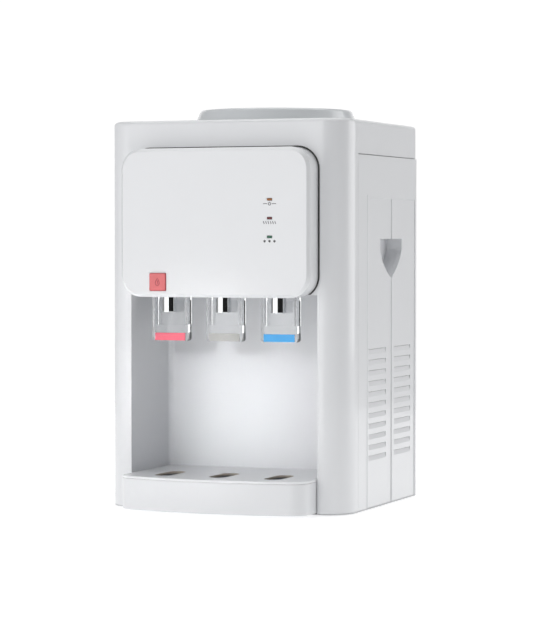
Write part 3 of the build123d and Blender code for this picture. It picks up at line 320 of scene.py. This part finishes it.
for tap, strip in STRIPS.items():
    dress(TAP_CREAM, f"{tap}_tap_body", f"{tap}_valve_stem")
    dress(CHROME, f"{tap}_spout_sleeve")
    dress(CLEAR, f"{tap}_lever")
    dress(strip, f"{tap}_lever_strip")
    dress(STEEL, f"{tap}_valve_spring")


# ---- mesh helpers ---------------------------------------------------------------------
def join_rings(bm, rings):
    """Quads between each ring of vertices and the next."""
    count = len(rings[0])
    for a, b in zip(rings, rings[1:]):
        for k in range(count):
            bm.faces.new((a[k], a[(k + 1) % count], b[(k + 1) % count], b[k]))


def make_piece(name, bm, material):
    """New object in the scene from a finished bmesh."""
    bmesh.ops.recalc_face_normals(bm, faces=bm.faces)
    mesh = bpy.data.meshes.new(name)
    bm.to_mesh(mesh)
    bm.free()
    piece = bpy.data.objects.new(name, mesh)
    SCENE.collection.objects.link(piece)
    dress(material, piece)
    return piece


# ---- printed marks: strokes are lists of (x, z) points in mm ---------------------------
PRINT_THICKNESS = 0.12
PICTOGRAM_WIDTH = 0.7
MARK_WIDTH = 0.75
PICTOGRAM_DROP = 4.9 * MM                 # from the middle of a lens down to its pictogram
HEAT_WAVES = 6
HEAT_WAVE_GAP = 2.8
SNOW_GAP = 6.0


def stroke_sides(points, half):
    """Left and right edge of a stroke; the two ends of a closed one fit together."""
    last = len(points) - 1
    closed = points[0] == points[-1]
    sides = []
    for i, (x, z) in enumerate(points):
        before, after = points[max(i - 1, 0)], points[min(i + 1, last)]
        if closed and i in (0, last):
            before, after = points[-2], points[1]
        dx, dz = after[0] - before[0], after[1] - before[1]
        length = math.hypot(dx, dz)
        nx, nz = -dz / length * half, dx / length * half
        sides.append(((x + nx, z + nz), (x - nx, z - nz)))
    return sides


def flat_stroke(name, strokes, width, place, material, body):
    """Raised printed strokes about a place on a front face."""
    bm = bmesh.new()
    for points in strokes:
        rows = []
        for (lx, lz), (rx, rz) in stroke_sides(points, width / 2):
            corners = [(lx, -PRINT_THICKNESS, lz), (rx, -PRINT_THICKNESS, rz), (rx, 0, rz), (lx, 0, lz)]
            rows.append([bm.verts.new(Vector(c) * MM + place) for c in corners])
        join_rings(bm, rows)
        bm.faces.new(rows[0])
        bm.faces.new(rows[-1][::-1])
    piece = make_piece(name, bm, material)
    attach(piece, body)


def arc(radius, start, end, steps=20):
    """Part of a circle about the origin, between two angles in degrees."""
    turn = [math.radians(start + (end - start) * k / steps) for k in range(steps + 1)]
    return [(radius * math.cos(t), radius * math.sin(t)) for t in turn]


def wave(x, height, swing, steps=12):
    """One upright wave of rising heat."""
    shares = [k / steps for k in range(steps + 1)]
    return [(x + swing * math.sin(2 * math.pi * share), height * (share - 0.5)) for share in shares]


def snow(x, size):
    """Six-armed snowflake from three crossed lines."""
    lines = []
    for k in range(3):
        t = math.radians(90 + 60 * k)
        dx, dz = size * math.cos(t), size * math.sin(t)
        lines.append([(x - dx, -dz), (x + dx, dz)])
    return lines


def label_place(node):
    """Point on the cover's face just below an indicator lens."""
    low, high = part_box(node)
    return Vector(((low.x + high.x) / 2, FACE_Y, (low.z + high.z) / 2 - PICTOGRAM_DROP))


def pictograms():
    """Power ring between two dashes, heat waves and snowflakes, one below each lens."""
    power = [arc(1.6, 125, 415), [(0, 0.4), (0, 2.1)], [(-8, 0), (-3, 0)], [(3, 0), (8, 0)]]
    heat = [wave((k - (HEAT_WAVES - 1) / 2) * HEAT_WAVE_GAP, 3.2, 0.55) for k in range(HEAT_WAVES)]
    cold = [line for k in (-1, 0, 1) for line in snow(k * SNOW_GAP, 1.6)]
    for node, strokes in (("power_lens", power), ("heating_lens", heat), ("cooling_lens", cold)):
        name = node.replace("lens", "pictogram")
        flat_stroke(name, strokes, PICTOGRAM_WIDTH, label_place(node), INK, "cabinet")


def button_mark():
    """Drop outline with a small flame inside, standing for the hot-water child lock."""
    centre = (BUTTON_LOW + BUTTON_HIGH) / 2
    place = Vector((centre.x, BUTTON_LOW.y, centre.z))
    half = [(0.0, 4.2), (-1.2, 2.2), (-2.3, 0.2), (-2.6, -1.6), (-1.7, -3.4), (0.0, -4.0)]
    drop = half + [(-x, z) for x, z in half[-2::-1]]
    flame = [(0.9, -2.2), (0.2, -1.0), (0.8, 0.4), (-0.3, 1.6)]
    flat_stroke("button_mark", [drop, flame], MARK_WIDTH, place, MARK, "child_lock")


# ---- dark strip for the shadow gap round the tap cover, and springs -------------------
# Painted shade: a dark rubber strip round the tap cover stands in for the shadow in the gap.
GAP_SHADOW_RADIUS = 25 * MM
GAP_SHADOW_OUT = 1.9 * MM                     # past the cover's outline
GAP_SHADOW_IN = -1.6 * MM                     # under the cover
GAP_SHADOW_FRONT = -0.27 * MM                 # from the housing's front plane
GAP_SHADOW_BACK = -0.04 * MM
GAP_SHADOW_LIFT = 3.5 * MM                    # its lower run stays above the cover's lower edge
COIL_WIRE = 0.5 * MM
COIL_TURNS = 5.5
COIL_FLAT = 0.12                          # share of the wire lying flat at each end
COIL_STEPS = 220
WIRE_SIDES = 10


def rounded_loop(low, high, radius, grow, steps=10):
    """Closed (x, z) loop round a rectangle with rounded corners, grown outward by grow."""
    points = []
    corners = (
        (high[0] - radius, high[1] - radius, 0),
        (low[0] + radius, high[1] - radius, 90),
        (low[0] + radius, low[1] + radius, 180),
        (high[0] - radius, low[1] + radius, 270),
    )
    for cx, cz, start in corners:
        for k in range(steps + 1):
            t = math.radians(start + 90 * k / steps)
            points.append((cx + (radius + grow) * math.cos(t), cz + (radius + grow) * math.sin(t)))
    return points


def cover_gap_shadow():
    """Painted shade: a dark rubber strip between the tap cover and the housing, reaching past the cover's
    outline, stands in for the shadow in the gap.
    """
    low = (COVER_LOW.x, COVER_LOW.z)
    high = (COVER_HIGH.x, COVER_HIGH.z)
    lowest = COVER_LOW.z + GAP_SHADOW_LIFT
    section = (
        (GAP_SHADOW_OUT, GAP_SHADOW_FRONT),
        (GAP_SHADOW_OUT, GAP_SHADOW_BACK),
        (GAP_SHADOW_IN, GAP_SHADOW_BACK),
        (GAP_SHADOW_IN, GAP_SHADOW_FRONT),
    )
    bm = bmesh.new()
    loops = []
    for grow, y in section:
        outline = rounded_loop(low, high, GAP_SHADOW_RADIUS, grow)
        loops.append([bm.verts.new((x, FRONT_Y + y, max(z, lowest))) for x, z in outline])
    join_rings(bm, loops + loops[:1])
    piece = make_piece("cover_shadow_strip", bm, RUBBER)
    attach(piece, "cabinet")


def coil_spring(name, node, axis):
    """Closed-end coil in its node's place, fixed to the cabinet; the node itself is hidden."""
    low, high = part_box(node)
    centre = (low + high) / 2
    along = Vector((0, 1, 0)) if axis == "Y" else Vector((0, 0, 1))
    across = Vector((1, 0, 0))
    third = along.cross(across)
    length = (high - low).dot(along) - 2 * COIL_WIRE
    radius = (high.x - low.x) / 2 - COIL_WIRE
    bm = bmesh.new()
    rings = []
    for k in range(COIL_STEPS + 1):
        t = k / COIL_STEPS
        rise = min(1.0, max(0.0, (t - COIL_FLAT) / (1 - 2 * COIL_FLAT)))
        angle = 2 * math.pi * COIL_TURNS * t
        radial = across * math.cos(angle) + third * math.sin(angle)
        middle = centre + radial * radius + along * ((rise - 0.5) * length)
        rings.append([
            bm.verts.new(middle + (radial * math.cos(a) + along * math.sin(a)) * COIL_WIRE)
            for a in (2 * math.pi * j / WIRE_SIDES for j in range(WIRE_SIDES))
        ])
    join_rings(bm, rings)
    bm.faces.new(rings[0][::-1])
    bm.faces.new(rings[-1])
    piece = make_piece(name, bm, STEEL)
    piece.data.shade_smooth()
    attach(piece, "cabinet")
    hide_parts(node)
    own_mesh(piece)


pictograms()
button_mark()
cover_gap_shadow()
coil_spring("child_lock_coil", "child_lock_spring", "Y")
for tap in STRIPS:
    coil_spring(f"{tap}_valve_coil", f"{tap}_valve_spring", "Z")


# ---- floor, light and camera ----------------------------------------------------------
FLOOR_SIZE = 3.2
FLOOR_GLOW = 0.44                         # under the object
FAR_GLOW = 0.62                           # out at the floor's edge, so that no edge shows
GLOW_RISE = (0.9, 1.5)                    # distances from the middle between the two glows
ROOM_LEVEL = 0.30
WHITE_LEVEL = 1.02
DARK_LEVEL = 0.05                         # share of the light left on the side that chrome mirrors
BACKDROP_WAY = (-0.373, 0.928, 0.0)       # from the camera past the object
BACKDROP_RISE = (0.78, 0.95)              # cosines from that way
DARK_WAY = (0.77, -0.64, 0.0)
DARK_RISE = (0.64, 0.86)
LAMP_TARGET = (0.0, 0.0, 0.25)
LAMPS = (
    ("front box", (-0.55, -2.65, 0.85), (1.7, 2.2), 21),
    ("left box", (-0.95, -0.95, 0.4), (0.5, 0.8), 1.7),
    ("back right box", (2.3, 1.7, 1.0), (2.2, 2.0), 27),
    ("overhead box", (0.0, 0.2, 2.4), (2.2, 2.2), 26),
)
SNOOT_PLACE = (0.05, -0.95, 0.34)
SNOOT_TARGET = (-0.03, 0.0, 0.115)
SNOOT_SIZE = (0.10, 0.10)
SNOOT_POWER = 0.041
SNOOT_SPREAD = 17
CAMERA_LENS = 143.3
CAMERA_YAW = 21.89
CAMERA_PITCH = 1.66
CAMERA_PLACE = (1.1135, -2.6367, 0.3142)  # from the middle of the housing's front plane, on the floor


def studio_floor():
    """Pale plain floor that glows a little, and more towards its edge."""
    bpy.ops.mesh.primitive_plane_add(size=FLOOR_SIZE)
    floor = bpy.context.object
    floor.name = "floor"
    mat, nodes, links, shader = new_material("studio floor")
    speck = object_noise(nodes, links, 8.0, 2.0)
    pale = mix_colours(nodes, links, speck.outputs["Fac"], (0.88, 0.88, 0.88), (0.91, 0.91, 0.91))
    links.new(pale, shader.inputs["Base Color"])
    shader.inputs["Roughness"].default_value = 0.9
    shader.inputs["Emission Color"].default_value = (1, 1, 1, 1)
    coord = nodes.new("ShaderNodeTexCoord")
    reach = nodes.new("ShaderNodeVectorMath")
    reach.operation = "LENGTH"
    links.new(coord.outputs["Object"], reach.inputs[0])
    glow = remap(nodes, links, reach.outputs["Value"], FLOOR_GLOW, FAR_GLOW, *GLOW_RISE)
    links.new(glow, shader.inputs["Emission Strength"])
    floor.data.materials.append(mat)


def way_cosine(nodes, links, way):
    """Cosine between a direction of the world and a fixed way."""
    coord = nodes.new("ShaderNodeTexCoord")
    dot = nodes.new("ShaderNodeVectorMath")
    dot.operation = "DOT_PRODUCT"
    dot.inputs[1].default_value = way
    links.new(coord.outputs["Generated"], dot.inputs[0])
    return dot.outputs["Value"]


def studio_world():
    """Grey room with a bright backdrop and a dark side; the picture's own background is white."""
    world = bpy.data.worlds.new("studio")
    world.use_nodes = True
    nodes, links = world.node_tree.nodes, world.node_tree.links
    ahead = way_cosine(nodes, links, BACKDROP_WAY)
    backdrop = remap(nodes, links, ahead, ROOM_LEVEL, WHITE_LEVEL, *BACKDROP_RISE)
    aside = way_cosine(nodes, links, DARK_WAY)
    shade = remap(nodes, links, aside, 1.0, DARK_LEVEL, *DARK_RISE)
    path = nodes.new("ShaderNodeLightPath")
    seen = nodes.new("ShaderNodeMix")
    seen.inputs["B"].default_value = WHITE_LEVEL
    links.new(path.outputs["Is Camera Ray"], seen.inputs["Factor"])
    links.new(multiply(nodes, links, backdrop, shade), seen.inputs["A"])
    links.new(seen.outputs["Result"], nodes["Background"].inputs["Strength"])
    nodes["Background"].inputs["Color"].default_value = (1, 1, 1, 1)
    SCENE.world = world


def soft_light(name, place, target, size, power):
    """Rectangular soft box turned towards its target."""
    data = bpy.data.lights.new(name, "AREA")
    data.shape = "RECTANGLE"
    data.size, data.size_y = size
    data.energy = power
    lamp = bpy.data.objects.new(name, data)
    SCENE.collection.objects.link(lamp)
    lamp.location = place
    lamp.rotation_euler = (Vector(target) - Vector(place)).to_track_quat("-Z", "Y").to_euler()
    return lamp


def studio_lamps():
    """Soft boxes in front, at the left, behind right and overhead, and a narrow light in the alcove."""
    for name, place, size, power in LAMPS:
        soft_light(name, place, LAMP_TARGET, size, power)
    snoot = soft_light("alcove snoot", SNOOT_PLACE, SNOOT_TARGET, SNOOT_SIZE, SNOOT_POWER)
    snoot.data.spread = math.radians(SNOOT_SPREAD)


def photo_camera():
    """Long lens, 22 degrees round to the right, at about two thirds of the object's height."""
    yaw = math.radians(CAMERA_YAW)
    pitch = math.radians(CAMERA_PITCH)
    data = bpy.data.cameras.new("camera")
    data.sensor_fit = "AUTO"
    data.sensor_width = 36.0
    data.lens = CAMERA_LENS
    data.clip_end = 50
    camera = bpy.data.objects.new("camera", data)
    SCENE.collection.objects.link(camera)
    camera.location = Vector((0.0, FRONT_Y, 0.0)) + Vector(CAMERA_PLACE)
    forward = Vector((-math.sin(yaw) * math.cos(pitch), math.cos(yaw) * math.cos(pitch), -math.sin(pitch)))
    camera.rotation_euler = forward.to_track_quat("-Z", "Y").to_euler()
    SCENE.camera = camera


studio_floor()
studio_world()
studio_lamps()
photo_camera()
SCENE.view_settings.view_transform = "Standard"
